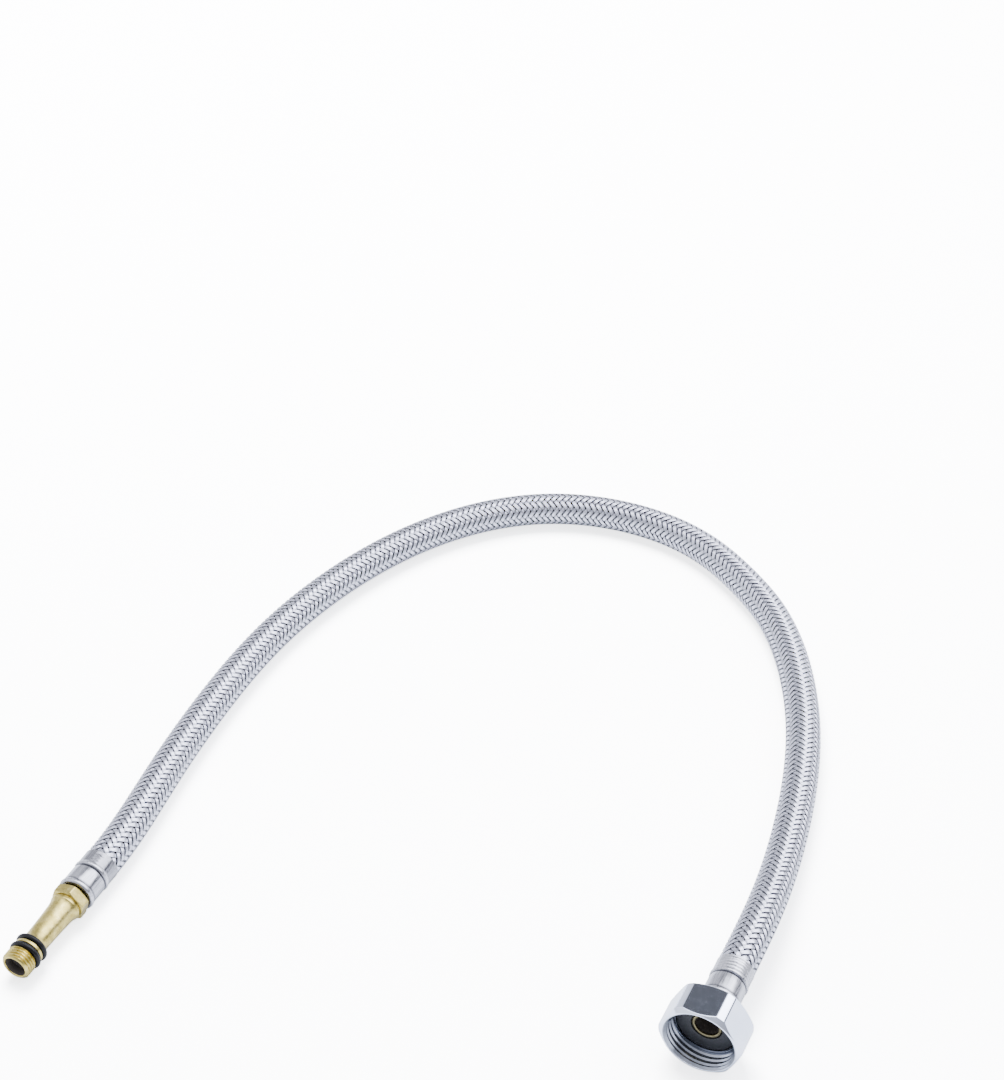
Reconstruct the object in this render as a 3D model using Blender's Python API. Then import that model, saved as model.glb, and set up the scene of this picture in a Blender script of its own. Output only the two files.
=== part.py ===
"""A braided stainless supply line: G 1/2 swivel nut at one end, M10 x 1 tail at the other.

Metres, +Z up. Both end fittings lie along Y with their open ends facing -Y, and the hose
runs from one to the other in a wide U on the surface z = 0.
"""

import math

import bmesh
import bpy
import numpy as np

MM = 0.001

# Where the two ends lie, in mm.
TAIL_X = -104.4
TAIL_Z = 6.3
TAIL_TIP_Y = -43.64
NUT_X = 97.55
NUT_Z = 12.4
NUT_MOUTH_Y = 12.24

# M10 x 1 tail.
TAIL_THREAD_RADIUS = 5.0
TAIL_THREAD_PITCH = 1.0
TAIL_THREAD_DEPTH = 0.61
TAIL_BORE = 2.9
TAIL_MOUTH_BORE = 3.5
SPIGOT_BORE = 2.4
TAIL_HEX_ACROSS_FLATS = 11.0
TAIL_HEX_CORNER = 6.25
TAIL_HEX_TURN = 44.0
O_RING_SECTION = 1.8
O_RING_MIDDLE = 4.6
O_RING_SEATS = (5.7, 9.1)
GROOVE_ROOT = 3.4
GROOVE_WIDTH = 2.4

# G 1/2 swivel nut.
NUT_ACROSS_FLATS = 24.0
NUT_CORNER = 13.15
NUT_TURN = 94.5
NUT_LENGTH = 12.2
NUT_THREAD_MAJOR = 10.48
NUT_THREAD_PITCH = 1.814
NUT_THREAD_DEPTH = 1.16
NUT_SEAT_RADIUS = 9.6
NUT_NECK_HOLE = 5.3

# Crimped ferrules, both the same.
FERRULE_LENGTH = 15.2
FERRULE_FRONT_ON_TAIL = 33.2
FERRULE_FRONT_ON_NUT = 16.2

# Hose.
BRAID_OUTER = 6.0
BRAID_INNER = 5.5
TUBE_OUTER = 5.2
TUBE_INNER = 3.9
HOSE_SIDES = 12
RING_SPACING = 10.0
FACE_GAP = 0.3

# Middle line of the hose from the tail ferrule to the nut ferrule, in mm.
ROUTE = (
    (-104.4, 5.1, 6.3),
    (-105.6, 25.2, 6.2),
    (-107.6, 41.2, 6.1),
    (-109.6, 58.2, 6.1),
    (-111.3, 79.2, 6.1),
    (-112.2, 104.2, 6.1),
    (-111.2, 128.2, 6.1),
    (-107.8, 150.7, 6.1),
    (-101.6, 173.7, 6.1),
    (-93.2, 194.2, 6.1),
    (-81.6, 213.4, 6.1),
    (-66.5, 229.8, 6.1),
    (-49.5, 240.8, 6.1),
    (-34.0, 246.0, 6.1),
    (-17.5, 247.8, 6.1),
    (-1.0, 246.1, 6.1),
    (16.0, 240.0, 6.1),
    (32.0, 229.8, 6.1),
    (46.5, 217.6, 6.1),
    (60.0, 200.8, 6.1),
    (70.7, 182.0, 6.1),
    (79.2, 162.2, 6.1),
    (85.6, 141.7, 6.2),
    (91.3, 115.7, 6.8),
    (95.3, 88.2, 8.5),
    (97.2, 64.7, 11.4),
    (97.55, 43.95, 12.4),
)


def material(name, colour, roughness, metallic):
    made = bpy.data.materials.new(name)
    made.use_nodes = True
    shader = made.node_tree.nodes["Principled BSDF"]
    shader.inputs["Base Color"].default_value = (*colour, 1.0)
    shader.inputs["Roughness"].default_value = roughness
    shader.inputs["Metallic"].default_value = metallic
    return made


def solid(name, rings, finish, place=(0.0, 0.0, 0.0)):
    """A closed ring-shaped body: every ring of points joins the next, and the last the first."""
    rings = np.asarray(rings)
    count, around = rings.shape[:2]
    faces = []
    for i in range(count):
        for j in range(around):
            after_i = (i + 1) % count
            after_j = (j + 1) % around
            faces.append(
                (
                    i * around + j,
                    i * around + after_j,
                    after_i * around + after_j,
                    after_i * around + j,
                )
            )
    mesh = bpy.data.meshes.new(name)
    mesh.from_pydata((rings.reshape(-1, 3) * MM).tolist(), [], faces)
    shape = bmesh.new()
    shape.from_mesh(mesh)
    bmesh.ops.recalc_face_normals(shape, faces=shape.faces)
    shape.to_mesh(mesh)
    shape.free()
    mesh.shade_smooth()
    mesh.set_sharp_from_angle(angle=math.radians(32.0))
    mesh.materials.append(finish)
    made = bpy.data.objects.new(name, mesh)
    made.location = [value * MM for value in place]
    bpy.context.scene.collection.objects.link(made)
    return made


def columns(flats_turn=0.0, flat_half_angle=24.0):
    """Angles round a turned piece, with a column on each edge of the six flats."""
    steps = (-flat_half_angle, -12.0, 0.0, 12.0, flat_half_angle, 30.0)
    return [math.radians(flats_turn + 60.0 * side + step) for side in range(6) for step in steps]


def hexagon(across_flats, corner_radius, turn):
    """Radius of a hexagon whose corners are turned down to a round."""

    def radius(_, angle):
        off_flat = (math.degrees(angle) - turn + 30.0) % 60.0 - 30.0
        return min(corner_radius, across_flats / 2 / math.cos(math.radians(off_flat)))

    return radius


def thread(outer, depth, pitch):
    """Radius of a right-hand V thread."""

    def radius(along, angle):
        phase = (along / pitch + angle / (2 * math.pi)) % 1.0
        return outer - depth * abs(2 * phase - 1)

    return radius


def threaded_rows(start, end, pitch, radius):
    count = round((end - start) / (pitch / 4))
    return [(start + (end - start) * k / count, radius) for k in range(count + 1)]


def turned(name, profile, angles, finish, place):
    """A piece turned about the Y line through place. Profile: (distance along Y, radius)."""
    rings = []
    for along, radius in profile:
        ring = []
        for angle in angles:
            size = radius(along, angle) if callable(radius) else radius
            ring.append((size * math.cos(angle), along, size * math.sin(angle)))
        rings.append(ring)
    return solid(name, rings, finish, place)


def o_ring(name, seat, finish):
    middle = O_RING_SECTION / 2
    profile = []
    for k in range(12):
        turn = 2 * math.pi * k / 12
        profile.append((seat + middle * math.cos(turn), O_RING_MIDDLE + middle * math.sin(turn)))
    return turned(name, profile, columns(), finish, (TAIL_X, TAIL_TIP_Y, TAIL_Z))


def spigot(front):
    """Neck, retaining collar and barbs inside a ferrule whose front face is at front."""
    profile = [
        (front + 1.4, 4.15),
        (front + 1.4, 4.9),
        (front + 2.4, 4.9),
        (front + 2.4, 3.3),
    ]
    for barb in range(4):
        base = front + 4.0 + 2.6 * barb
        profile += [(base, 3.6), (base + 1.9, 3.3)]
    profile += [(front + 14.4, 3.3), (front + 14.4, SPIGOT_BORE)]
    return profile


def ferrule(name, front, place, finish):
    """Steel sleeve: rolled front lip, smooth band, one raised ridge, crimped band, open end."""
    outer = (
        (0.0, 5.3),
        (0.15, 5.9),
        (0.6, 6.25),
        (1.1, 6.3),
        (1.7, 6.15),
        (2.4, 6.1),
        (8.4, 6.12),
        (8.7, 6.0),
        (9.1, 6.28),
        (9.5, 6.3),
        (9.9, 6.28),
        (10.4, 6.1),
        (14.4, 6.15),
        (15.0, 6.15),
        (FERRULE_LENGTH, 6.1),
    )
    inner = ((FERRULE_LENGTH, 5.65), (1.0, 5.65), (1.0, 4.5), (0.0, 4.5))
    profile = [(front + along, radius) for along, radius in outer + inner]
    return turned(name, profile, columns(), finish, place)


def tail_fitting(finish):
    groove = GROOVE_WIDTH / 2
    first, second = O_RING_SEATS
    outside = thread(TAIL_THREAD_RADIUS, TAIL_THREAD_DEPTH, TAIL_THREAD_PITCH)
    hex_side = hexagon(TAIL_HEX_ACROSS_FLATS, TAIL_HEX_CORNER, TAIL_HEX_TURN)
    profile = [
        (3.9, TAIL_BORE),
        (3.2, TAIL_MOUTH_BORE),
        (0.2, TAIL_MOUTH_BORE),
        (0.0, 3.7),
        (0.0, 4.2),
    ]
    profile += threaded_rows(0.75, first - groove - 0.2, TAIL_THREAD_PITCH, outside)
    profile += [
        (first - groove, 4.5),
        (first - groove, GROOVE_ROOT),
        (first + groove, GROOVE_ROOT),
        (first + groove, 4.9),
        (second - groove, 4.9),
        (second - groove, GROOVE_ROOT),
        (second + groove, GROOVE_ROOT),
        (second + groove, 4.3),
        (10.9, 4.1),
        (11.6, 3.95),
        (19.5, 4.2),
        (24.3, 4.45),
        (26.8, 4.85),
        (27.1, 5.1),
        (27.8, 5.1),
        (28.0, 4.7),
        (28.4, 4.7),
        (28.4, 5.3),
        (28.9, hex_side),
        (31.8, hex_side),
        (32.3, 5.4),
        (32.3, 4.15),
    ]
    profile += spigot(FERRULE_FRONT_ON_TAIL)
    profile += [(33.9, SPIGOT_BORE), (32.7, TAIL_BORE)]
    angles = columns(TAIL_HEX_TURN, 28.3)
    return turned("tail_fitting", profile, angles, finish, (TAIL_X, TAIL_TIP_Y, TAIL_Z))


def nut_insert(finish):
    profile = [
        (11.5, 3.7),
        (6.75, 3.7),
        (6.75, 4.7),
        (8.9, 4.7),
        (8.9, 9.2),
        (10.4, 9.2),
        (10.4, 4.9),
        (15.6, 4.9),
        (15.9, 4.6),
        (15.9, 4.15),
    ]
    profile += spigot(FERRULE_FRONT_ON_NUT)
    profile += [(15.0, SPIGOT_BORE)]
    return turned("nut_insert", profile, columns(), finish, (NUT_X, NUT_MOUTH_Y, NUT_Z))


def swivel_nut(finish):
    inside = thread(NUT_THREAD_MAJOR, NUT_THREAD_DEPTH, NUT_THREAD_PITCH)
    hex_side = hexagon(NUT_ACROSS_FLATS, NUT_CORNER, NUT_TURN)
    rows = threaded_rows(1.0, 6.1, NUT_THREAD_PITCH, inside)
    profile = [
        (6.3, NUT_SEAT_RADIUS),
        (10.7, NUT_SEAT_RADIUS),
        (10.7, NUT_NECK_HOLE),
        (NUT_LENGTH, NUT_NECK_HOLE),
        (NUT_LENGTH, 11.0),
        (11.8, 11.6),
        (10.9, hex_side),
        (1.6, hex_side),
        (0.6, 12.0),
        (0.2, 11.9),
        (0.0, 11.7),
        (0.0, 11.2),
    ]
    flat_edge = math.degrees(math.acos(NUT_ACROSS_FLATS / 2 / NUT_CORNER))
    angles = columns(NUT_TURN, flat_edge)
    place = (NUT_X, NUT_MOUTH_Y, NUT_Z)
    return turned("swivel_nut", profile + rows, angles, finish, place)


def sealing_washer(finish):
    profile = [(6.6, 5.0), (6.6, 9.1), (8.6, 9.1), (8.6, 5.0)]
    place = (NUT_X, NUT_MOUTH_Y, NUT_Z)
    return turned("sealing_washer", profile, columns(), finish, place)


def smooth_line(points, spacing):
    """Evenly spaced points on a smooth curve through points, straight on along Y at both ends."""
    points = np.array(points)
    steps = np.linalg.norm(np.diff(points, axis=0), axis=1)
    knots = np.concatenate([[0.0], np.cumsum(steps)])
    last = len(points) - 1
    system = np.zeros((last + 1, last + 1))
    target = np.zeros_like(points)
    system[0, 0] = 1.0
    target[0] = (0.0, 1.0, 0.0)
    system[last, last] = 1.0
    target[last] = (0.0, -1.0, 0.0)
    for i in range(1, last):
        before = steps[i - 1]
        after = steps[i]
        system[i, i - 1 : i + 2] = (after, 2 * (before + after), before)
        slope_before = (points[i] - points[i - 1]) / before
        slope_after = (points[i + 1] - points[i]) / after
        target[i] = 3 * (after * slope_before + before * slope_after)
    slopes = np.linalg.solve(system, target)
    count = round(knots[-1] / spacing)
    line = []
    for place in np.linspace(0.0, knots[-1], count + 1):
        i = min(int(np.searchsorted(knots, place, side="right")) - 1, last - 1)
        length = steps[i]
        part = (place - knots[i]) / length
        line.append(
            (1 + 2 * part) * (1 - part) ** 2 * points[i]
            + part * (1 - part) ** 2 * length * slopes[i]
            + part**2 * (3 - 2 * part) * points[i + 1]
            + part**2 * (part - 1) * length * slopes[i + 1]
        )
    return np.array(line)


def hose(name, line, outer, inner, finish):
    """A hollow tube round line, its cross-section carried along without twisting."""
    directions = np.gradient(line, axis=0)
    directions /= np.linalg.norm(directions, axis=1)[:, None]
    side = np.array((1.0, 0.0, 0.0))
    turns = 2 * np.pi * np.arange(HOSE_SIDES) / HOSE_SIDES
    outside = []
    inside = []
    for point, direction in zip(line, directions):
        side = side - direction * side.dot(direction)
        side /= np.linalg.norm(side)
        up = np.cross(direction, side)
        ring = np.outer(np.cos(turns), side) + np.outer(np.sin(turns), up)
        outside.append(point + outer * ring)
        inside.append(point + inner * ring)
    return solid(name, outside + inside[::-1], finish)


def run_on(line, tail_end, nut_end):
    """The line carried straight on into both ferrules."""
    return np.vstack([(TAIL_X, tail_end, TAIL_Z), line, (NUT_X, nut_end, NUT_Z)])


for old in list(bpy.data.objects):
    bpy.data.objects.remove(old, do_unlink=True)

brass = material("turned_brass", (0.71, 0.53, 0.22), 0.3, 1.0)
chrome = material("chromed_brass", (0.82, 0.84, 0.88), 0.08, 1.0)
steel = material("stainless_sleeve", (0.68, 0.68, 0.72), 0.22, 1.0)
wire = material("stainless_braid", (0.62, 0.62, 0.68), 0.3, 1.0)
black_rubber = material("black_rubber", (0.015, 0.015, 0.017), 0.45, 0.0)
washer_rubber = material("washer_rubber", (0.02, 0.022, 0.026), 0.6, 0.0)
tube_rubber = material("tube_rubber", (0.03, 0.03, 0.03), 0.7, 0.0)

tail_fitting(brass)
o_ring("front_o_ring", O_RING_SEATS[0], black_rubber)
o_ring("rear_o_ring", O_RING_SEATS[1], black_rubber)
tail_place = (TAIL_X, TAIL_TIP_Y, TAIL_Z)
nut_place = (NUT_X, NUT_MOUTH_Y, NUT_Z)
ferrule("tail_ferrule", FERRULE_FRONT_ON_TAIL, tail_place, steel)
ferrule("nut_ferrule", FERRULE_FRONT_ON_NUT, nut_place, steel)
nut_insert(brass)
sealing_washer(washer_rubber)
swivel_nut(chrome)

route_line = smooth_line(ROUTE, RING_SPACING)
hose("braid_sleeve", route_line, BRAID_OUTER, BRAID_INNER, wire)
tube_tail_end = TAIL_TIP_Y + FERRULE_FRONT_ON_TAIL + 2.4 + FACE_GAP
tube_nut_end = NUT_MOUTH_Y + FERRULE_FRONT_ON_NUT + 2.4 + FACE_GAP
tube_line = run_on(route_line, tube_tail_end, tube_nut_end)
hose("inner_tube", tube_line, TUBE_OUTER, TUBE_INNER, tube_rubber)
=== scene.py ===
"""Looks of the braided supply line: woven hose, crimped sleeves, swivel nut and brass tail."""

import math

import bpy
import numpy as np
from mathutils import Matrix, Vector


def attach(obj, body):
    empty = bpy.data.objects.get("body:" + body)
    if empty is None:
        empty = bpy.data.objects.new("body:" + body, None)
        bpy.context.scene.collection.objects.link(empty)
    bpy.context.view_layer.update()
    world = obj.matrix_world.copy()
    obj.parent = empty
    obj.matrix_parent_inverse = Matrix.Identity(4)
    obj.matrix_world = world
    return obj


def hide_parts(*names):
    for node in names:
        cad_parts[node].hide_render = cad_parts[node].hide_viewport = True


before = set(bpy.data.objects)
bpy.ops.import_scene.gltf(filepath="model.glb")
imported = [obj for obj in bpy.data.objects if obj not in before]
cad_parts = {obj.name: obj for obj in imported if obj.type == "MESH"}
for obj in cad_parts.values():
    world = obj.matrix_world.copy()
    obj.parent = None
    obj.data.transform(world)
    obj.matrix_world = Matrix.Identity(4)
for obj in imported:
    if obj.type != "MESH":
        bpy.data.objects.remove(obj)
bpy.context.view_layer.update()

MM = 0.001
BODY = "hose_and_fittings"
NUT_BODY = "nut"

# Front centre of each end fitting, in mm. Both fittings lie along Y and open towards -Y.
TAIL = (-104.4, -43.64, 6.3)
NUT = (97.55, 12.24, 12.4)

# Hexagons: across the flats and the radius of the corners in mm, turn of a flat in degrees.
TAIL_FLATS = 11.0
TAIL_CORNER = 6.25
TAIL_TURN = 44.0
TAIL_FLAT_EDGE = 27.5
NUT_FLATS = 24.0
NUT_CORNER = 13.15
NUT_TURN = 94.5
HEXAGON_CREASE = 38.0

# Threads: pitch in mm.
TAIL_PITCH = 1.0
NUT_PITCH = 1.814

# O-rings and sleeves: distances from the front of their fitting, in mm.
FRONT_RING_SEAT = 5.7
REAR_RING_SEAT = 9.1
RING_SECTION = 0.9
RING_RADIUS = 4.6
TAIL_SLEEVE_FRONT = 33.2
NUT_SLEEVE_FRONT = 16.2

# Hose, in mm. A bundle's half width is in crossings of the braid.
LINE_SPACING = 0.5
BRAID_LEAD = 28.7
CARRIERS = 12
CARRIER_HALF_WIDTH = 0.355
WIRES = 5
BRAID_MIDDLE = 5.72
WEAVE_RISE = 0.2
WIRE_RISE = 0.075
EDGE_DROP = 0.24
END_SQUEEZE = 0.22
CORE_RADIUS = 5.15
CORE_SPACING = 2.0
TUCK = 1.6

# Vertex attribute of painted shade: how far a point is darkened as if hidden in a gap or groove,
# and the painted shade where a bundle passes under another.
PAINTED_SHADE = "painted_shade"
UNDER_SHADE = 0.85

# Middle line of the hose from the tail's sleeve to the nut's sleeve, in metres.
ROUTE = (
    (-0.1044, 0.0051, 0.0063),
    (-0.1056, 0.0252, 0.0062),
    (-0.1076, 0.0412, 0.0061),
    (-0.1096, 0.0582, 0.0061),
    (-0.1113, 0.0792, 0.0061),
    (-0.1122, 0.1042, 0.0061),
    (-0.1112, 0.1282, 0.0061),
    (-0.1078, 0.1507, 0.0061),
    (-0.1016, 0.1737, 0.0061),
    (-0.0932, 0.1942, 0.0061),
    (-0.0816, 0.2134, 0.0061),
    (-0.0665, 0.2298, 0.0061),
    (-0.0495, 0.2408, 0.0061),
    (-0.0340, 0.246, 0.0061),
    (-0.0175, 0.2478, 0.0061),
    (-0.0010, 0.2461, 0.0061),
    (0.0160, 0.24, 0.0061),
    (0.0320, 0.2298, 0.0061),
    (0.0465, 0.2176, 0.0061),
    (0.0600, 0.2008, 0.0061),
    (0.0707, 0.182, 0.0061),
    (0.0792, 0.1622, 0.0061),
    (0.0856, 0.1417, 0.0062),
    (0.0913, 0.1157, 0.0068),
    (0.0953, 0.0882, 0.0085),
    (0.0972, 0.0647, 0.0114),
    (0.09755, 0.04395, 0.0124),
)


# ---------------------------------------------------------------- materials


def new_material(name):
    made = bpy.data.materials.new(name)
    made.use_nodes = True
    tree = made.node_tree
    return made, tree, tree.nodes["Principled BSDF"]


def add(tree, kind, **sockets):
    """A node with some of its inputs set: a value, or another node's output."""
    made = tree.nodes.new(kind)
    for name, value in sockets.items():
        socket = made.inputs[name.replace("_", " ")]
        if isinstance(value, bpy.types.NodeSocket):
            tree.links.new(value, socket)
        else:
            socket.default_value = value
    return made


def own_place(tree, stretch=(1.0, 1.0, 1.0)):
    """Coordinates on the piece itself, in metres, squeezed along some axes."""
    source = tree.nodes.new("ShaderNodeTexCoord")
    return add(
        tree, "ShaderNodeMapping", Vector=source.outputs["Object"], Scale=stretch
    ).outputs["Vector"]


def noise(tree, place, scale, detail=3.0, roughness=0.5):
    made = add(
        tree,
        "ShaderNodeTexNoise",
        Vector=place,
        Scale=scale,
        Detail=detail,
        Roughness=roughness,
    )
    return made.outputs["Fac"]


def ramp(tree, factor, stops):
    """Colours at places along a ramp: (position, (r, g, b))."""
    made = add(tree, "ShaderNodeValToRGB", Fac=factor)
    ends = made.color_ramp.elements
    while len(ends) < len(stops):
        ends.new(0.5)
    for end, (position, colour) in zip(ends, stops):
        end.position = position
        end.color = (*colour, 1.0)
    return made.outputs["Color"]


def spread(tree, factor, low, high, from_low=0.3, from_high=0.7):
    made = add(tree, "ShaderNodeMapRange", Value=factor)
    made.inputs["From Min"].default_value = from_low
    made.inputs["From Max"].default_value = from_high
    made.inputs["To Min"].default_value = low
    made.inputs["To Max"].default_value = high
    return made.outputs["Result"]


def bump(tree, shader, height, strength, distance):
    made = add(
        tree,
        "ShaderNodeBump",
        Height=height,
        Strength=strength,
        Distance=distance,
    )
    tree.links.new(made.outputs["Normal"], shader.inputs["Normal"])


def brass_finish(name, shades):
    made, tree, shader = new_material(name)
    place = own_place(tree)
    shader.inputs["Metallic"].default_value = 1.0
    cloud = noise(tree, place, 420.0, 5.0, 0.62)
    colour = ramp(tree, cloud, tuple(zip((0.30, 0.50, 0.72), shades)))
    tree.links.new(colour, shader.inputs["Base Color"])
    rough = spread(tree, noise(tree, place, 900.0), 0.24, 0.38)
    tree.links.new(rough, shader.inputs["Roughness"])
    tooling = noise(tree, own_place(tree, (0.12, 1.0, 0.12)), 4200.0, 2.0)
    bump(tree, shader, tooling, 0.22, 0.00004)
    return made


def chrome_finish(name, dark, light, smoothest, roughest):
    made, tree, shader = new_material(name)
    shader.inputs["Metallic"].default_value = 1.0
    place = own_place(tree)
    colour = ramp(
        tree,
        noise(tree, place, 130.0),
        ((0.35, dark), (0.65, light)),
    )
    tree.links.new(colour, shader.inputs["Base Color"])
    rough = spread(tree, noise(tree, place, 700.0, 4.0), smoothest, roughest)
    tree.links.new(rough, shader.inputs["Roughness"])
    bump(tree, shader, noise(tree, place, 260.0, 2.0), 0.1, 0.00006)
    return made


def with_painted_shade(tree, colour):
    """The colour with painted shade: turned nearly black where the painted-shade attribute is 1."""
    painted_shade = tree.nodes.new("ShaderNodeAttribute")
    painted_shade.attribute_name = PAINTED_SHADE
    shade = tree.nodes.new("ShaderNodeMix")
    shade.data_type = "RGBA"
    tree.links.new(painted_shade.outputs["Fac"], shade.inputs["Factor"])
    tree.links.new(colour, shade.inputs[6])
    shade.inputs[7].default_value = (0.05, 0.05, 0.06, 1.0)
    return shade.outputs[2]


def sleeve_finish():
    made, tree, shader = new_material("drawn stainless")
    shader.inputs["Metallic"].default_value = 1.0
    streaks = noise(tree, own_place(tree, (1.0, 0.08, 1.0)), 1500.0, 3.0, 0.6)
    colour = ramp(
        tree,
        streaks,
        ((0.32, (0.38, 0.38, 0.41)), (0.68, (0.62, 0.62, 0.65))),
    )
    # Painted shade: the colour is darkened by the painted-shade attribute at the sleeves' front
    # face and grooves, and over their back band.
    tree.links.new(with_painted_shade(tree, colour), shader.inputs["Base Color"])
    tree.links.new(spread(tree, streaks, 0.22, 0.36), shader.inputs["Roughness"])
    bump(tree, shader, streaks, 0.16, 0.00005)
    return made


def braid_finish():
    """Bright wire, with painted shade where it dips under the other bundles and along each bundle's
    edges.
    """
    made, tree, shader = new_material("woven stainless wire")
    shader.inputs["Metallic"].default_value = 1.0
    place = own_place(tree)
    colour = ramp(
        tree,
        noise(tree, place, 1500.0, 4.0, 0.7),
        ((0.34, (0.48, 0.485, 0.56)), (0.66, (0.86, 0.87, 0.97))),
    )
    tree.links.new(with_painted_shade(tree, colour), shader.inputs["Base Color"])
    rough = spread(tree, noise(tree, place, 400.0), 0.18, 0.34)
    tree.links.new(rough, shader.inputs["Roughness"])
    return made


def rubber_finish(name, colour, roughness, grain, shine=0.5):
    made, tree, shader = new_material(name)
    shader.inputs["Specular IOR Level"].default_value = shine
    place = own_place(tree)
    shade = ramp(
        tree,
        noise(tree, place, grain * 0.4),
        ((0.3, colour), (0.7, tuple(1.6 * value for value in colour))),
    )
    tree.links.new(shade, shader.inputs["Base Color"])
    rough = spread(tree, noise(tree, place, grain), roughness - 0.06, roughness + 0.08)
    tree.links.new(rough, shader.inputs["Roughness"])
    bump(tree, shader, noise(tree, place, grain * 2.0, 2.0), 0.25, 0.00003)
    return made


# ---------------------------------------------------------------- mesh tools


def grid_mesh(name, points, finish, round_way=True, closed=False, crease=None):
    """A mesh of quads over an array of points (rows, columns, 3), in metres."""
    rows, columns = points.shape[:2]
    down = np.arange(rows if closed else rows - 1)
    across = np.arange(columns if round_way else columns - 1)
    i, j = np.meshgrid(down, across, indexing="ij")
    next_i = (i + 1) % rows
    next_j = (j + 1) % columns
    row = i * columns
    next_row = next_i * columns
    corners = [row + j, row + next_j, next_row + next_j, next_row + j]
    faces = np.stack(corners, axis=-1).reshape(-1, 4)
    return quad_mesh(name, points.reshape(-1, 3), faces, finish, crease)


def quad_mesh(name, points, faces, finish, crease=None):
    mesh = bpy.data.meshes.new(name)
    mesh.vertices.add(len(points))
    mesh.vertices.foreach_set("co", points.astype(np.float32).ravel())
    mesh.loops.add(faces.size)
    mesh.loops.foreach_set("vertex_index", faces.astype(np.int32).ravel())
    mesh.polygons.add(len(faces))
    mesh.polygons.foreach_set("loop_start", np.arange(0, faces.size, 4, dtype=np.int32))
    mesh.update(calc_edges=True)
    mesh.shade_smooth()
    if crease is not None:
        mesh.set_sharp_from_angle(angle=math.radians(crease))
    mesh.materials.append(finish)
    made = bpy.data.objects.new(name, mesh)
    bpy.context.scene.collection.objects.link(made)
    return made


def turned(name, rows, angles, finish, place, crease=34.0, inside=None, inside_rows=0):
    """A closed piece turned about the Y line through place. Rows: (distance along, radius), either
    of which may be a number or a function of the angles. The last inside_rows rows, and the step
    from them back to the first, take the inside finish."""
    rings = []
    for along, radius in rows:
        size = radius(angles) if callable(radius) else np.full(len(angles), radius)
        back = along(angles) if callable(along) else np.full(len(angles), along)
        rings.append(np.stack([size * np.cos(angles), back, size * np.sin(angles)], axis=1))
    made = grid_mesh(name, np.array(rings) * MM, finish, closed=True, crease=crease)
    if inside is not None:
        made.data.materials.append(inside)
        row = np.arange(len(made.data.polygons)) // len(angles)
        inner = (row >= len(rows) - inside_rows).astype(np.int32)
        made.data.polygons.foreach_set("material_index", inner)
    made.location = [value * MM for value in place]
    return made


def soft(corners, size, steps=4):
    """A profile with each of its corners rounded off."""
    corners = [np.array(corner, float) for corner in corners]
    rows = [tuple(corners[0])]
    for before, corner, after in zip(corners, corners[1:], corners[2:]):
        length_before = np.linalg.norm(corner - before)
        length_after = np.linalg.norm(after - corner)
        reach = min(size, length_before / 2.2, length_after / 2.2)
        start = corner + (before - corner) / length_before * reach
        end = corner + (after - corner) / length_after * reach
        for part in np.linspace(0.0, 1.0, steps):
            middle = 2 * part * (1 - part) * corner
            rows.append(tuple((1 - part) ** 2 * start + middle + part**2 * end))
    return rows + [tuple(corners[-1])]


def even_angles(count):
    return np.arange(count) * 2 * np.pi / count


def flat_angles(turn, flat_edge, bevel=0.8):
    """Angles round a hexagon, closer at its flats' edges. The last two arguments are degrees."""
    side = np.concatenate(
        [
            [-flat_edge - bevel, -flat_edge, -flat_edge + bevel],
            np.linspace(-flat_edge + 2 * bevel, flat_edge - 2 * bevel, 13),
            [flat_edge - bevel, flat_edge, flat_edge + bevel],
            np.linspace(flat_edge + 2 * bevel, 60.0 - flat_edge - 2 * bevel, 5),
        ]
    )
    return np.radians(np.concatenate([turn + 60.0 * k + side for k in range(6)]))


def hexagon(across_flats, corner_radius, turn):
    """Radius of a hexagon whose corners are turned down to a round."""

    def radius(angles):
        off_flat = (np.degrees(angles) - turn + 30.0) % 60.0 - 30.0
        return np.minimum(corner_radius, across_flats / 2 / np.cos(np.radians(off_flat)))

    return radius


def chamfered(start, start_radius, slope, hex_side):
    """Where a cone turned on the end of a hexagon meets its flats."""
    return lambda angles: start + slope * (hex_side(angles) - start_radius)


def beveled(edge, side, size):
    """Rows that round the edge where a chamfer meets the sides; size is negative at a back end."""
    reach = abs(size)
    return [
        (lambda angles: edge(angles) - 1.2 * size, lambda angles: side(angles) - 1.5 * reach),
        (lambda angles: edge(angles) - 0.3 * size, lambda angles: side(angles) - 0.35 * reach),
        (lambda angles: edge(angles) + size, side),
        (lambda angles: edge(angles) + 3.0 * size, side),
    ]


def thread_rows(start, end, outer, depth, pitch, limit, per_turn=14, steepness=1.45):
    """Rows of a right-hand thread with flats on crests and roots, wider where flanks are steeper.

    limit(along, size) cuts the thread back where it runs out.
    """
    rows = []
    count = round(abs(end - start) / pitch * per_turn)
    for along in np.linspace(start, end, count + 1):

        def radius(angles, along=along):
            phase = (along / pitch + angles / (2 * np.pi)) % 1.0
            wave = np.clip(0.5 + steepness * (np.abs(2 * phase - 1) - 0.5), 0.0, 1.0)
            return limit(along, outer - depth * wave)

        rows.append((along, radius))
    return rows


def paint_shade_attribute(piece, values):
    """Give each vertex its painted shade, from 0 to 1: how far its colour is darkened."""
    painted_shade = piece.data.attributes.new(PAINTED_SHADE, "FLOAT", "POINT")
    painted_shade.data.foreach_set("value", values.astype(np.float32))


def dress(piece, body, slot, *nodes):
    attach(piece, body)
    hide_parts(*nodes)
    return piece


# ---------------------------------------------------------------- hose


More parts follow.
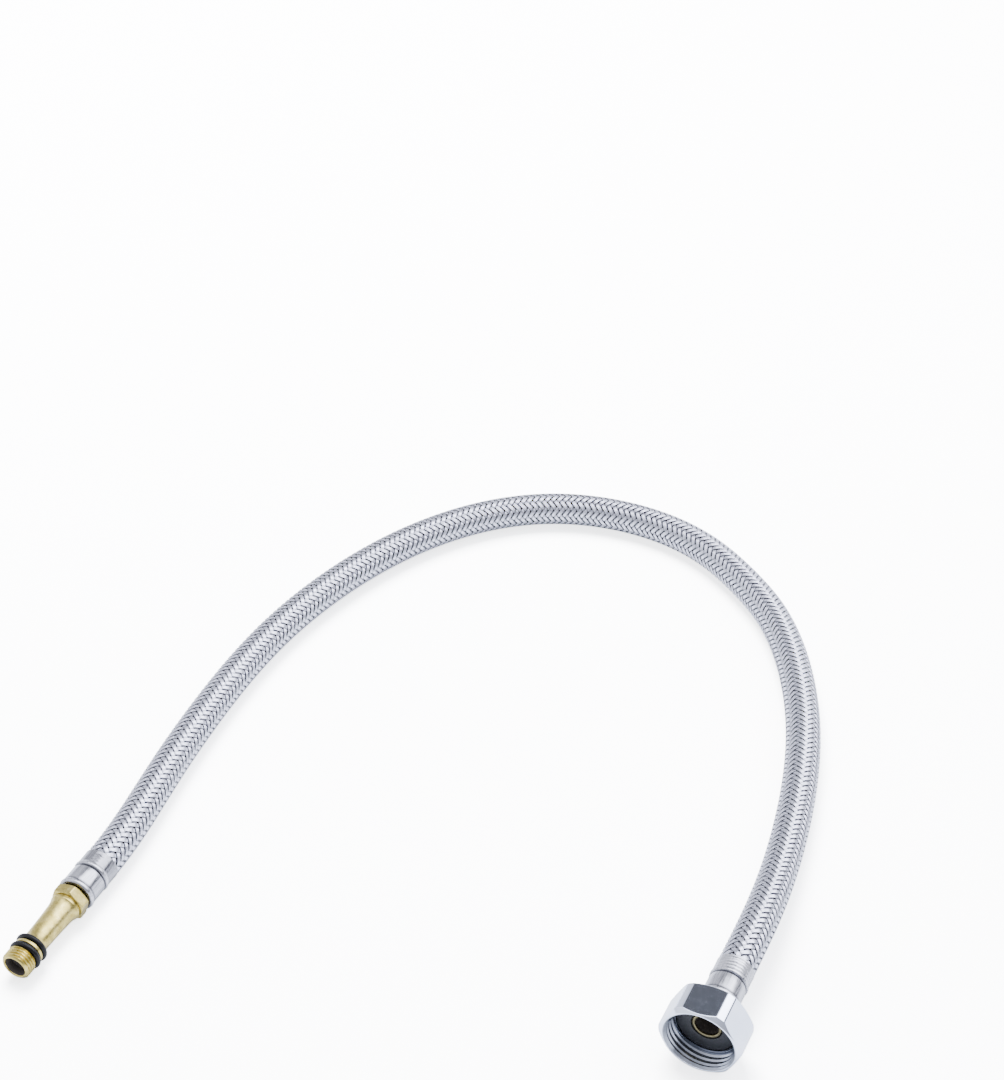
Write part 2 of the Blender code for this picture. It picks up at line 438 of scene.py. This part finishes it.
def smooth_line(points, spacing):
    """Evenly spaced points on a smooth curve through points, straight on along Y at both ends."""
    points = np.array(points)
    steps = np.linalg.norm(np.diff(points, axis=0), axis=1)
    knots = np.concatenate([[0.0], np.cumsum(steps)])
    last = len(points) - 1
    system = np.zeros((last + 1, last + 1))
    target = np.zeros_like(points)
    system[0, 0] = 1.0
    target[0] = (0.0, 1.0, 0.0)
    system[last, last] = 1.0
    target[last] = (0.0, -1.0, 0.0)
    for i in range(1, last):
        before = steps[i - 1]
        after = steps[i]
        system[i, i - 1 : i + 2] = (after, 2 * (before + after), before)
        slope_before = (points[i] - points[i - 1]) / before
        slope_after = (points[i + 1] - points[i]) / after
        target[i] = 3 * (after * slope_before + before * slope_after)
    slopes = np.linalg.solve(system, target)
    count = round(knots[-1] / spacing)
    line = []
    for place in np.linspace(0.0, knots[-1], count + 1):
        i = min(int(np.searchsorted(knots, place, side="right")) - 1, last - 1)
        length = steps[i]
        part = (place - knots[i]) / length
        line.append(
            (1 + 2 * part) * (1 - part) ** 2 * points[i]
            + part * (1 - part) ** 2 * length * slopes[i]
            + part**2 * (3 - 2 * part) * points[i + 1]
            + part**2 * (part - 1) * length * slopes[i + 1]
        )
    return np.array(line)


class Hose:
    """The middle line with a cross-section carried along it without twisting."""

    def __init__(self, line):
        tucked = 2 * TUCK * MM
        self.line = np.vstack([line[0] - (0, tucked, 0), line, line[-1] - (0, tucked, 0)])
        steps = np.linalg.norm(np.diff(self.line, axis=0), axis=1)
        self.at = np.concatenate([[0.0], np.cumsum(steps)]) - tucked
        self.length = self.at[-2]
        ahead = np.gradient(self.line, self.at, axis=0)
        ahead /= np.linalg.norm(ahead, axis=1)[:, None]
        side = np.array((1.0, 0.0, 0.0))
        sides = []
        for direction in ahead:
            side = side - direction * side.dot(direction)
            side /= np.linalg.norm(side)
            sides.append(side)
        self.side = np.array(sides)
        self.up = np.cross(ahead, self.side)

    def point(self, distance, angle, radius):
        """Points on the hose: all three are arrays of one shape, in metres and radians."""

        def carried(values):
            return np.stack([np.interp(distance, self.at, values[:, k]) for k in range(3)], axis=-1)

        outward = np.cos(angle)[..., None] * carried(self.side)
        outward = outward + np.sin(angle)[..., None] * carried(self.up)
        return carried(self.line) + radius[..., None] * outward


def core_tube(hose, finish):
    """The dark rubber tube seen between the wires."""
    count = round(hose.length / (CORE_SPACING * MM))
    distance, angle = np.meshgrid(
        np.linspace(-TUCK * MM, hose.length + TUCK * MM, count), even_angles(32), indexing="ij"
    )
    radius = np.full(distance.shape, CORE_RADIUS * MM)
    return grid_mesh("hose_core", hose.point(distance, angle, radius), finish)


def carriers(name, hose, hand, members, finish):
    """Flat bundles of wires wound one way round the hose, over two and under two of the others.

    Each crossing has whole-number coordinates (own bundle, other bundle) on the unrolled hose.
    """
    spacing = 2 * CARRIERS
    tuck = TUCK * spacing / BRAID_LEAD
    total = hose.length / MM * spacing / BRAID_LEAD
    first, last = (-tuck, total + tuck) if hand > 0 else (-total - tuck, tuck)
    crossing = np.arange(math.floor(first), math.ceil(last) + 1)
    steps = np.stack([crossing - 0.3, crossing + 0.3], axis=1).ravel()
    whole = np.repeat(crossing, 2)
    wire = np.add.outer(np.arange(WIRES), (0.0, 0.26, 0.74)).ravel()
    across = np.append(wire, WIRES) * 2 / WIRES - 1
    ripple = np.where(np.arange(3 * WIRES + 1) % 3 == 0, 0.0, WIRE_RISE)
    ripple[[0, -1]] -= EDGE_DROP
    off_middle = np.abs(across)
    edge_shade = np.where(off_middle > 0.95, 1.0, np.where(off_middle > 0.8, 0.6, 0.0))
    points = []
    faces = []
    painted_shades = []
    for own in members:
        over = (2 * own + whole) % 4 < 2
        rise = np.where(over, WEAVE_RISE, -WEAVE_RISE) * hand
        other = own + steps
        mine = own + CARRIER_HALF_WIDTH * across
        a, b = np.meshgrid(mine, other)
        angle = 2 * np.pi * (a + b) / spacing
        distance = hand * BRAID_LEAD * (b - a) / spacing
        nearest_end = np.minimum(distance, hose.length / MM - distance)
        squeeze = END_SQUEEZE * np.clip((1.0 - nearest_end) / 1.2, 0.0, 1.0)
        radius = BRAID_MIDDLE + rise[:, None] + ripple[None, :] - squeeze
        rows, columns = a.shape
        start = sum(len(block) for block in points)
        points.append(hose.point(distance * MM, angle, radius * MM).reshape(-1, 3))
        # Painted shade: nearly black where a bundle dips under the others, and darker towards each
        # bundle's edges at the gaps between bundles.
        under = np.where(rise > 0, 0.0, UNDER_SHADE)
        painted_shades.append(np.maximum(under[:, None], edge_shade[None, :]).ravel())
        i, j = np.meshgrid(np.arange(rows - 1), np.arange(columns - 1), indexing="ij")
        corner = start + i * columns + j
        quads = [corner, corner + 1, corner + columns + 1, corner + columns]
        faces.append(np.stack(quads[::hand], axis=-1).reshape(-1, 4))
    made = quad_mesh(name, np.vstack(points), np.vstack(faces), finish)
    paint_shade_attribute(made, np.concatenate(painted_shades))
    return made


# ---------------------------------------------------------------- fittings


def crimp_flats(depth, count, turn):
    """Flats left round a sleeve by the crimping jaws."""

    def shrink(angles):
        off = (np.degrees(angles) - turn) % (360.0 / count) - 180.0 / count
        return depth * (1 - np.abs(off) * count / 180.0)

    return shrink


def ferrule(name, front, place, finish, turn, facet, ring, back_shade):
    """Crimped sleeve: rolled front lip, pressed band, raised ridge, wrinkled band, open end.

    facet is the depth of the jaws' flats, ring that of the grooves round the wrinkled band, and
    back_shade how far that band's colour is darkened.
    """
    pressed_flats = crimp_flats(facet, 10, turn)
    wrinkled_flats = crimp_flats(facet, 14, turn + 9.0)

    def pressed(radius):
        return lambda angles: radius - pressed_flats(angles)

    def wrinkled(radius):
        return lambda angles: radius - wrinkled_flats(angles)

    rows = [(0.9, 4.75), (0.35, 4.75), (0.1, 4.95), (0.0, 5.25), (0.0, 5.5), (0.1, 5.85)]
    rows += [(0.3, 6.1), (0.6, 6.25), (0.95, 6.3), (1.3, 6.26), (1.55, 6.12), (1.7, 5.96)]
    rows += [(1.9, 5.9), (2.15, 5.94), (2.6, pressed(6.02)), (4.0, pressed(6.05))]
    rows += [(6.0, pressed(6.05)), (7.6, pressed(6.04)), (7.95, 5.9), (8.1, 5.66), (8.3, 5.6)]
    rows += [(8.45, 5.68), (8.6, 5.98), (8.8, 6.2), (9.1, 6.3), (9.5, 6.3), (9.8, 6.2)]
    rows += [(10.05, 6.04)]
    for start in (10.3, 11.5, 12.7, 13.6):
        rows += [(start, 6.0 - ring)]
        rows += [(start + 0.25, wrinkled(6.08)), (start + 0.75, wrinkled(6.1))]
    rows += [(14.6, 6.08 - ring), (14.9, 6.14), (15.15, 6.12), (15.2, 6.04), (15.1, 5.97)]
    rows += [(14.7, 5.95), (12.6, 5.9), (12.6, 5.5), (1.2, 5.5), (0.9, 5.2)]
    angles = even_angles(160)
    # Painted shade along the sleeve: the lip's front face and the groove behind the lip darkened,
    # the groove in front of the ridge nearly black, the pressed band a little; the wrinkled band is
    # darkened by back_shade.
    shades = np.interp(
        [along for along, radius in rows],
        (0.0, 0.3, 1.3, 1.7, 2.0, 2.6, 7.6, 7.95, 8.45, 8.8, 9.8, 10.3, 14.9),
        (0.7, 0.0, 0.0, 0.75, 0.75, 0.1, 0.1, 0.95, 0.95, 0.0, 0.0, back_shade, back_shade),
    )
    rows = [(front + along, radius) for along, radius in rows]
    made = turned(name, rows, angles, finish, place)
    paint_shade_attribute(made, np.repeat(shades, len(angles)))
    return made


def tail_fitting(finish, bore_shade):
    hex_side = hexagon(TAIL_FLATS, TAIL_CORNER, TAIL_TURN)

    def lead_in(along, size):
        return np.minimum(size, 4.2 + 1.1 * along)

    rows = soft([(0.35, 3.52), (0.0, 3.75), (0.0, 4.1), (0.1, 4.3)], 0.15)
    rows += thread_rows(0.12, 4.25, 5.0, 0.61, TAIL_PITCH, lead_in)
    rows += soft(
        [
            (4.3, 4.45),
            (4.5, 4.4),
            (4.5, 3.4),
            (6.9, 3.4),
            (6.9, 4.9),
            (7.9, 4.9),
            (7.9, 3.4),
            (10.3, 3.4),
            (10.3, 4.35),
            (10.9, 4.12),
            (11.6, 3.96),
        ],
        0.12,
    )
    rows += [(14.0, 4.02), (17.0, 4.1), (19.5, 4.2), (22.0, 4.32), (24.3, 4.45), (25.7, 4.62)]
    rows += soft(
        [(26.7, 4.85), (27.1, 5.12), (27.8, 5.12), (27.95, 4.65), (28.4, 4.65), (28.4, 5.2)], 0.14
    )
    front = chamfered(28.45, 5.3, 0.55, hex_side)
    back = chamfered(32.25, 5.3, -0.5, hex_side)
    rows += beveled(front, hex_side, 0.1) + [(30.4, hex_side)]
    rows += beveled(back, hex_side, -0.1)[::-1]
    rows += [(32.3, 5.25), (32.3, 4.2), (34.8, 4.15), (34.8, 2.4)]
    bore_rows = [(33.9, 2.4), (32.7, 2.9), (18.0, 2.9), (3.9, 2.9), (3.2, 3.5)]
    return turned(
        "brass_tail",
        rows + bore_rows,
        flat_angles(TAIL_TURN, TAIL_FLAT_EDGE),
        finish,
        TAIL,
        crease=HEXAGON_CREASE,
        inside=bore_shade,
        inside_rows=len(bore_rows) + 1,
    )


def o_ring(name, seat, finish):
    rows = []
    for turn in even_angles(28):
        along = seat + RING_SECTION * math.cos(turn)
        rows.append((along, RING_RADIUS + RING_SECTION * math.sin(turn)))
    return turned(name, rows, even_angles(128), finish, TAIL, crease=180.0)


def nut_insert(finish, bore_shade):
    rows = soft(
        [
            (7.5, 3.68),
            (6.85, 3.75),
            (6.75, 4.0),
            (6.75, 4.5),
            (6.95, 4.72),
            (8.8, 4.72),
            (8.9, 9.1),
            (10.4, 9.1),
            (10.4, 4.9),
            (15.6, 4.9),
            (15.9, 4.6),
            (16.3, 4.2),
            (18.6, 4.15),
            (18.6, 2.4),
        ],
        0.12,
    )
    bore_rows = [(15.0, 2.4), (11.5, 3.7)]
    return turned(
        "brass_insert",
        rows + bore_rows,
        even_angles(144),
        finish,
        NUT,
        inside=bore_shade,
        inside_rows=len(bore_rows) + 1,
    )


def sealing_washer(finish):
    corners = [(7.6, 4.95), (6.6, 4.95), (6.6, 7.0), (6.6, 9.3), (7.6, 9.45), (8.6, 9.3)]
    rows = soft(corners + [(8.6, 4.95), (7.6, 4.95)], 0.18)
    return turned("flat_washer", rows[:-1], even_angles(144), finish, NUT)


def swivel_nut(finish, shaded_thread_finish):
    hex_side = hexagon(NUT_FLATS, NUT_CORNER, NUT_TURN)
    flat_edge = math.degrees(math.acos(NUT_FLATS / 2 / NUT_CORNER))

    def counterbore(along, size):
        return np.maximum(size, 11.35 - 1.2 * along)

    rows = soft([(1.0, 11.2), (0.1, 11.3), (0.0, 11.42), (0.0, 11.7), (0.12, 11.86)], 0.1)[1:]
    front = chamfered(0.2, 11.9, 0.85, hex_side)
    back = chamfered(12.15, 11.6, -0.6, hex_side)
    rows += beveled(front, hex_side, 0.12) + [(6.1, hex_side)]
    rows += beveled(back, hex_side, -0.12)[::-1]
    rows += [(12.15, 11.5), (12.2, 11.2), (12.2, 5.6), (12.0, 5.35), (10.7, 5.35)]
    rows += [(10.7, 9.6), (6.4, 9.6)]
    thread = thread_rows(6.3, 0.2, 10.85, 0.5, NUT_PITCH, counterbore, per_turn=40, steepness=2.4)
    return turned(
        "hexagon_nut",
        rows + thread,
        flat_angles(NUT_TURN, flat_edge, 1.5),
        finish,
        NUT,
        crease=HEXAGON_CREASE,
        inside=shaded_thread_finish,
        inside_rows=len(thread) + 1,
    )


# ---------------------------------------------------------------- build

BRIGHT_BRASS = ((0.33, 0.26, 0.06), (0.47, 0.38, 0.11), (0.64, 0.53, 0.20))
# Painted shade: a darker, greyer copy of the brass for the insert that sits inside the nut.
SHADED_BRASS = ((0.13, 0.11, 0.055), (0.19, 0.165, 0.09), (0.27, 0.24, 0.14))

brass = brass_finish("turned brass", BRIGHT_BRASS)
painted_shade_brass = brass_finish("brass with painted shade", SHADED_BRASS)
chrome = chrome_finish("chromed brass", (0.74, 0.79, 0.92), (0.81, 0.85, 0.97), 0.05, 0.13)
# Painted shade: a darker copy of the chrome for the nut's thread and the step from it back to the
# mouth.
shaded_thread_chrome = chrome_finish(
    "chrome with painted shade on the thread", (0.22, 0.24, 0.28), (0.36, 0.38, 0.43), 0.14, 0.24
)
sleeve_steel = sleeve_finish()
wire = braid_finish()
ring_rubber = rubber_finish("ring rubber", (0.0012, 0.0012, 0.0014), 0.38, 1500.0, shine=0.2)
washer_rubber = rubber_finish("washer rubber", (0.011, 0.012, 0.015), 0.5, 1200.0)
tube_rubber = rubber_finish("tube rubber", (0.004, 0.004, 0.005), 0.8, 900.0)
# Painted shade: a dark, dull brown-grey non-metal, in place of brass, on the insides of the tail's
# and the insert's bores.
bore_shade = rubber_finish("bore_shade", (0.04, 0.032, 0.026), 0.6, 700.0)

hose = Hose(smooth_line(ROUTE, LINE_SPACING * MM))
core = dress(core_tube(hose, tube_rubber), BODY, "tube_rubber", "inner_tube")
for name, hand, members in (
    ("braid_right_a", 1, range(0, CARRIERS, 2)),
    ("braid_right_b", 1, range(1, CARRIERS, 2)),
    ("braid_left_a", -1, range(0, CARRIERS, 2)),
    ("braid_left_b", -1, range(1, CARRIERS, 2)),
):
    strand = carriers(name, hose, hand, members, wire)
    dress(strand, BODY, "stainless_braid", "braid_sleeve")

dress(tail_fitting(brass, bore_shade), BODY, "turned_brass", "tail_fitting")
front_ring = o_ring("o_ring_front", FRONT_RING_SEAT, ring_rubber)
dress(front_ring, BODY, "black_rubber", "front_o_ring")
rear_ring = o_ring("o_ring_rear", REAR_RING_SEAT, ring_rubber)
dress(rear_ring, BODY, "black_rubber", "rear_o_ring")
tail_sleeve = ferrule("crimp_tail", TAIL_SLEEVE_FRONT, TAIL, sleeve_steel, 8.0, 0.12, 0.0, 0.45)
dress(tail_sleeve, BODY, "stainless_sleeve", "tail_ferrule")
nut_sleeve = ferrule("crimp_nut", NUT_SLEEVE_FRONT, NUT, sleeve_steel, 26.0, 0.07, 0.09, 0.05)
dress(nut_sleeve, BODY, "stainless_sleeve", "nut_ferrule")
dress(nut_insert(painted_shade_brass, bore_shade), BODY, "turned_brass", "nut_insert")
dress(sealing_washer(washer_rubber), BODY, "washer_rubber", "sealing_washer")
dress(swivel_nut(chrome, shaded_thread_chrome), NUT_BODY, "chromed_brass", "swivel_nut")

# ---------------------------------------------------------------- studio


def pale_floor():
    """White where seen directly, partly by its own light, and greyer to every other ray."""
    made, tree, shader = new_material("pale floor")
    shader.inputs["Base Color"].default_value = (0.94, 0.94, 0.94, 1.0)
    shader.inputs["Roughness"].default_value = 0.9
    shader.inputs["Specular IOR Level"].default_value = 0.0
    shader.inputs["Emission Color"].default_value = (0.98, 0.99, 1.0, 1.0)
    shader.inputs["Emission Strength"].default_value = 3.0
    mirrored = tree.nodes.new("ShaderNodeBsdfDiffuse")
    mirrored.inputs["Color"].default_value = (0.26, 0.27, 0.30, 1.0)
    glow = add(tree, "ShaderNodeEmission", Color=(0.84, 0.90, 1.0, 1.0), Strength=0.6)
    reflected = tree.nodes.new("ShaderNodeAddShader")
    tree.links.new(mirrored.outputs[0], reflected.inputs[0])
    tree.links.new(glow.outputs[0], reflected.inputs[1])
    seen = tree.nodes.new("ShaderNodeLightPath")
    both = tree.nodes.new("ShaderNodeMixShader")
    tree.links.new(seen.outputs["Is Camera Ray"], both.inputs[0])
    tree.links.new(reflected.outputs[0], both.inputs[1])
    tree.links.new(shader.outputs[0], both.inputs[2])
    tree.links.new(both.outputs[0], tree.nodes["Material Output"].inputs["Surface"])
    return made


FLOOR_HALF = 3.0
near = [(-FLOOR_HALF, -FLOOR_HALF, 0.0), (FLOOR_HALF, -FLOOR_HALF, 0.0)]
far = [(-FLOOR_HALF, FLOOR_HALF, 0.0), (FLOOR_HALF, FLOOR_HALF, 0.0)]
floor = grid_mesh("floor", np.array([near, far]), pale_floor(), round_way=False)

# Cards round the part: (azimuth from +Y towards +X, elevation, outer and inner radius in degrees,
# brightness added). A dark card has a share to keep instead.
LIGHT_CARDS = (
    (56.0, 52.0, 34.0, 20.0, 8.0),
    (-30.0, 77.0, 24.0, 13.0, 5.5),
    (18.0, 10.0, 20.0, 9.0, 2.4),
    (20.0, 31.0, 17.0, 9.0, 2.2),
    (-80.0, 12.0, 75.0, 30.0, 0.45),
    (-125.0, 38.0, 40.0, 18.0, 0.9),
)
DARK_CARDS = (
    (-26.3, 46.3, 13.0, 7.5, 0.15),
    (50.0, 10.0, 16.0, 9.0, 0.15),
    (105.0, 5.0, 60.0, 30.0, 0.5),
)


def studio_world():
    """A pale room with soft light cards behind and above, and dark cards between them."""
    made = bpy.data.worlds.new("studio")
    made.use_nodes = True
    tree = made.node_tree
    background = tree.nodes["Background"]
    direction = add(tree, "ShaderNodeTexCoord").outputs["Generated"]

    def card(azimuth, elevation, outer, inner, low, high):
        turn = math.radians(azimuth)
        rise = math.radians(elevation)
        towards = tree.nodes.new("ShaderNodeVectorMath")
        towards.operation = "DOT_PRODUCT"
        tree.links.new(direction, towards.inputs[0])
        towards.inputs[1].default_value = (
            math.sin(turn) * math.cos(rise),
            math.cos(turn) * math.cos(rise),
            math.sin(rise),
        )
        edges = [math.cos(math.radians(radius)) for radius in (outer, inner)]
        return spread(tree, towards.outputs["Value"], low, high, *edges)

    def combined(operation, first, second):
        result = tree.nodes.new("ShaderNodeMath")
        result.operation = operation
        tree.links.new(first, result.inputs[0])
        tree.links.new(second, result.inputs[1])
        return result.outputs[0]

    axes = add(tree, "ShaderNodeSeparateXYZ", Vector=direction)
    strength = spread(tree, axes.outputs["Z"], 1.15, 0.9, 0.0, 0.3)
    for azimuth, elevation, outer, inner, gain in LIGHT_CARDS:
        strength = combined("ADD", strength, card(azimuth, elevation, outer, inner, 0.0, gain))
    for azimuth, elevation, outer, inner, kept in DARK_CARDS:
        strength = combined("MULTIPLY", strength, card(azimuth, elevation, outer, inner, 1.0, kept))
    background.inputs["Color"].default_value = (0.95, 0.98, 1.1, 1.0)
    tree.links.new(strength, background.inputs["Strength"])
    bpy.context.scene.world = made


def key_lamp(place, aim, size, power):
    """A soft square lamp for the floor and the rubber. The metal doesn't mirror it."""
    lamp = bpy.data.lights.new("key", "AREA")
    lamp.shape = "SQUARE"
    lamp.size = size
    lamp.energy = power
    made = bpy.data.objects.new("key", lamp)
    made.visible_glossy = False
    made.location = place
    made.rotation_euler = (Vector(aim) - Vector(place)).to_track_quat("-Z", "Y").to_euler()
    bpy.context.scene.collection.objects.link(made)


studio_world()
key_lamp((-0.5, 0.7, 1.5), (0.0, 0.1, 0.0), 1.0, 260.0)

CAMERA_PLACE = (0.22521, -0.39917, 0.52673)
CAMERA_PITCH = 37.5947
CAMERA_AZIMUTH = 24.9

view = bpy.data.cameras.new("view")
view.lens = 74.333
view.sensor_width = 36.0
camera = bpy.data.objects.new("view", view)
camera.location = CAMERA_PLACE
camera.rotation_euler = (math.radians(90.0 - CAMERA_PITCH), 0.0, math.radians(CAMERA_AZIMUTH))
bpy.context.scene.collection.objects.link(camera)
bpy.context.scene.camera = camera
